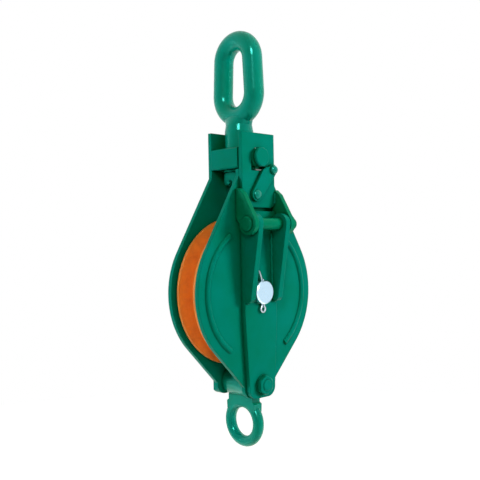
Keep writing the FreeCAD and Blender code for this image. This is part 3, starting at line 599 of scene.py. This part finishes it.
class StudioSettings(bpy.types.PropertyGroup):
    """Where the camera stands, and the power of the lamps and the room."""
    azimuth: bpy.props.FloatProperty(
        name="Azimuth", description="Camera's angle round the front, negative to the left",
        default=math.radians(-44.60), subtype="ANGLE")
    distance: bpy.props.FloatProperty(
        name="Distance", description="Level distance from the sheave's axis to the camera",
        default=0.788, unit="LENGTH")
    height: bpy.props.FloatProperty(
        name="Height", description="Camera's height above the sheave's axis",
        default=0.0542, unit="LENGTH")
    turn: bpy.props.FloatProperty(
        name="Turn", description="Turn of the camera away from the axis, to the left",
        default=math.radians(0.084), subtype="ANGLE")
    tilt: bpy.props.FloatProperty(
        name="Tilt", description="Tilt of the camera downwards",
        default=math.radians(-0.043), subtype="ANGLE")
    roll: bpy.props.FloatProperty(
        name="Roll", description="Roll of the camera about its view, anticlockwise",
        default=math.radians(-1.076), subtype="ANGLE")
    lens: bpy.props.FloatProperty(
        name="Lens", description="Focal length on a 36 mm sensor, in millimetres",
        default=54.98)
    key: bpy.props.FloatProperty(
        name="Key light", description="Power of the softbox at the right front",
        default=12.5, unit="POWER")
    rim: bpy.props.FloatProperty(
        name="Rim light", description="Power of the softbox behind the block at the left",
        default=12.5, unit="POWER")
    top: bpy.props.FloatProperty(
        name="Top light", description="Power of the softbox overhead",
        default=5.0, unit="POWER")
    warm: bpy.props.FloatProperty(
        name="Warm light", description="Power of the warm lamp behind the block at the right",
        default=6.0, unit="POWER")
    far: bpy.props.FloatProperty(
        name="Far light", description="Power of the softbox far behind the camera",
        default=23.0, unit="POWER")
    spark: bpy.props.FloatProperty(
        name="Camera window",
        description="Power of the window over the camera that the paint mirrors",
        default=100.0, unit="POWER")
    room: bpy.props.FloatProperty(
        name="Room light", description="Strength of the pale room's own light",
        default=0.05, min=0.0, max=1.0)


# Finishes of the CAD's pieces

class PULLEY_OT_enamel_plates(bpy.types.Operator):
    """Enamel the plates, straps, ribs, hasp plate, latch, crosshead, bolts and nuts"""
    bl_idname = "pulley_block.enamel_plates"
    bl_label = "Enamel plates"

    def execute(self, context):
        finish = context.scene.pulley_finishes
        paint = enamel(
            "green_enamel_on_rolled_plate", finish.green, finish.green_shade_and_drift,
            linear(GREEN_GLINT), gloss=0.32, level=0.12, ior=1.25,
            drift_mm=38.0, lump_mm=22.0, lump_height=0.25, edge_mm=1.1)
        dress(PLATEWORK, paint)
        dress(TURNED_AND_PAINTED, paint)
        return {"FINISHED"}


class PULLEY_OT_enamel_hinge(bpy.types.Operator):
    """Enamel the hasp's arms and the hinge pin in a yellower green than the plates"""
    bl_idname = "pulley_block.enamel_hinge"
    bl_label = "Enamel hinge"

    def execute(self, context):
        finish = context.scene.pulley_finishes
        paint = enamel(
            "yellower_green_enamel_on_hinge", finish.hinge, finish.hinge_shade_and_drift,
            linear(GREEN_GLINT), gloss=0.28, level=0.15, ior=1.25,
            drift_mm=20.0, lump_mm=9.0, lump_height=0.12, edge_mm=1.1)
        dress(HINGE_PARTS, paint)
        return {"FINISHED"}


class PULLEY_OT_enamel_forgings(bpy.types.Operator):
    """Enamel the forged top link and becket eye"""
    bl_idname = "pulley_block.enamel_forgings"
    bl_label = "Enamel forgings"

    def execute(self, context):
        finish = context.scene.pulley_finishes
        paint = enamel(
            "green_enamel_on_forging", finish.forging, finish.forging_shade_and_drift,
            linear(GREEN_GLINT), gloss=0.19, level=0.5, ior=1.4,
            drift_mm=30.0, lump_mm=14.0, lump_height=0.1, edge_mm=0.3)
        dress(FORGINGS, paint)
        return {"FINISHED"}


class PULLEY_OT_enamel_sheave(bpy.types.Operator):
    """Enamel the cast sheave"""
    bl_idname = "pulley_block.enamel_sheave"
    bl_label = "Enamel sheave"

    def execute(self, context):
        finish = context.scene.pulley_finishes
        paint = enamel(
            "orange_enamel_on_casting", finish.orange, finish.orange_shade_and_drift,
            linear(ORANGE_GLINT), gloss=0.26, level=0.6, ior=1.35,
            drift_mm=9.0, lump_mm=5.0, lump_height=0.3, edge_mm=1.2)
        dress(("sheave",), paint)
        return {"FINISHED"}


class PULLEY_OT_plate_axle(bpy.types.Operator):
    """Zinc plate the axle, its split pin and the grease nipple"""
    bl_idname = "pulley_block.plate_axle"
    bl_label = "Zinc plate axle"

    def execute(self, context):
        finish = context.scene.pulley_finishes
        plating = zinc_plate(
            "bright_zinc_on_turned_steel", finish.zinc, smoothest=0.24, roughest=0.34)
        dress(PLATED, plating)
        return {"FINISHED"}


class PULLEY_OT_bearings(bpy.types.Operator):
    """Finish the bronze bush and thrust washers"""
    bl_idname = "pulley_block.bearings"
    bl_label = "Bronze bearings"

    def execute(self, context):
        finish = context.scene.pulley_finishes
        dress(BEARINGS, oiled_bronze("oiled_bearing_bronze", finish.bronze))
        return {"FINISHED"}


# Details added to the CAD's pieces

class PULLEY_OT_weld_beads(bpy.types.Operator):
    """Lay the fillet welds of the hinge ribs and the hasp's arms"""
    bl_idname = "pulley_block.weld_beads"
    bl_label = "Weld beads"

    def execute(self, context):
        finish = context.scene.pulley_finishes
        details = context.scene.pulley_details
        paint = enamel(
            "green_enamel_on_weld", finish.green, finish.green_shade_and_drift,
            linear(GREEN_GLINT), gloss=0.34, level=0.2, ior=1.3,
            drift_mm=12.0, lump_mm=2.6, lump_height=0.3, edge_mm=0.8)
        bead = details.bead / MM
        ripple = details.ripple / MM
        arm_bead = 0.85 * bead
        rib_foot_gap = 3.0
        rib_head_gap = 20.0
        toe_gap = 1.0
        arm_foot_gap = 4.0
        arm_head_gap = 3.0
        plate_low = box_mm("hasp_plate")[0]
        arm_foot = plate_low.z + arm_foot_gap
        for name in ("left", "right"):
            low, high = box_mm("hinge_rib_" + name)
            inner = high.x if name == "left" else low.x
            weld_bead(
                "rib_weld_" + name, (inner, high.y, low.z + rib_foot_gap),
                (inner, high.y, high.z - rib_head_gap), bead, ripple, paint, "frame")
            weld_bead(
                "rib_toe_weld_" + name, (low.x + toe_gap, high.y, low.z),
                (high.x - toe_gap, high.y, low.z), bead, ripple, paint, "frame")
            low, high = box_mm("hasp_arm_" + name)
            inner = high.x if name == "left" else low.x
            weld_bead(
                "arm_weld_" + name, (inner, plate_low.y, arm_foot),
                (inner, plate_low.y, high.z - arm_head_gap), arm_bead, ripple, paint, "hasp")
        return {"FINISHED"}


class PULLEY_OT_axle_cotter(bpy.types.Operator):
    """Bend the axle's split pin from round wire, with its ring and one leg turned out"""
    bl_idname = "pulley_block.axle_cotter"
    bl_label = "Axle split pin"

    def execute(self, context):
        wire = context.scene.pulley_details.wire / MM
        low, high = box_mm("axle_split_pin")
        path = split_pin_path(low, high, wire)
        leg_end = 0.8 * wire
        shape = bmesh.new()
        swept_bar(shape, path, [leg_end] + [wire] * (len(path) - 1), sides=12)
        plating = zinc_plate(
            "dull_zinc_on_drawn_wire", linear(ZINC_DULL), smoothest=0.35, roughest=0.5)
        piece = new_piece("axle_cotter", shape, plating, "frame")
        smooth = piece.modifiers.new("drawn_smooth", "SUBSURF")
        smooth.levels = 1
        smooth.render_levels = 1
        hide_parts("axle_split_pin")
        return {"FINISHED"}


class PULLEY_OT_domed_heads(bpy.types.Operator):
    """Turn the latch's riveted pivot and its knob with domed heads"""
    bl_idname = "pulley_block.domed_heads"
    bl_label = "Domed heads"

    def execute(self, context):
        finish = context.scene.pulley_finishes
        details = context.scene.pulley_details
        paint = enamel(
            "glossy_green_enamel_on_turned_head", finish.green, finish.green_shade_and_drift,
            linear(GREEN_GLINT), gloss=0.2, level=1.0, ior=1.45,
            drift_mm=12.0, lump_mm=4.0, lump_height=0.1, edge_mm=0.5)
        for node, name, body, rise in (
                ("latch_rivet", "domed_latch_rivet", "hasp", details.rivet_dome / MM),
                ("latch_knob", "domed_latch_knob", "latch", details.knob_dome / MM)):
            low, high = box_mm(node)
            centre = ((low.x + high.x) / 2.0, (low.z + high.z) / 2.0)
            outline = dome_outline((high.x - low.x) / 2.0, high.y, low.y, rise)
            shape = bmesh.new()
            turned_head(shape, centre, outline, sides=48)
            piece = new_piece(name, shape, paint, body)
            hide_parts(node)
        return {"FINISHED"}


# Stage

class PULLEY_OT_studio(bpy.types.Operator):
    """Set up the pale floor, the softboxes, the world and the camera"""
    bl_idname = "pulley_block.studio"
    bl_label = "Studio"

    def execute(self, context):
        scene = context.scene
        studio = scene.pulley_studio
        scene.view_settings.view_transform = "Standard"
        make_world(scene, studio.room)
        make_floor()
        make_lamps(studio)
        scene.camera = make_camera(studio)
        return {"FINISHED"}


class PULLEY_PT_panel(bpy.types.Panel):
    """Lists the steps that finish and detail the block and set up its stage"""
    bl_idname = "PULLEY_PT_panel"
    bl_label = "Pulley block"
    bl_space_type = "VIEW_3D"
    bl_region_type = "UI"
    bl_category = "Pulley block"

    def draw(self, context):
        for step in STEPS:
            self.layout.operator(step.bl_idname)


STEPS = (
    PULLEY_OT_enamel_plates,
    PULLEY_OT_enamel_hinge,
    PULLEY_OT_enamel_forgings,
    PULLEY_OT_enamel_sheave,
    PULLEY_OT_plate_axle,
    PULLEY_OT_bearings,
    PULLEY_OT_weld_beads,
    PULLEY_OT_axle_cotter,
    PULLEY_OT_domed_heads,
    PULLEY_OT_studio,
)
GROUPS = (BlockFinishes, BlockDetails, StudioSettings)


def register():
    for item in (*GROUPS, *STEPS, PULLEY_PT_panel):
        bpy.utils.register_class(item)
    bpy.types.Scene.pulley_finishes = bpy.props.PointerProperty(type=BlockFinishes)
    bpy.types.Scene.pulley_details = bpy.props.PointerProperty(type=BlockDetails)
    bpy.types.Scene.pulley_studio = bpy.props.PointerProperty(type=StudioSettings)


def unregister():
    del bpy.types.Scene.pulley_studio
    del bpy.types.Scene.pulley_details
    del bpy.types.Scene.pulley_finishes
    for item in reversed((*GROUPS, *STEPS, PULLEY_PT_panel)):
        bpy.utils.unregister_class(item)


def main():
    register()
    bpy.ops.pulley_block.enamel_plates()
    bpy.ops.pulley_block.enamel_hinge()
    bpy.ops.pulley_block.enamel_forgings()
    bpy.ops.pulley_block.enamel_sheave()
    bpy.ops.pulley_block.plate_axle()
    bpy.ops.pulley_block.bearings()
    bpy.ops.pulley_block.weld_beads()
    bpy.ops.pulley_block.axle_cotter()
    bpy.ops.pulley_block.domed_heads()
    bpy.ops.pulley_block.studio()


if __name__ == "__main__":
    main()
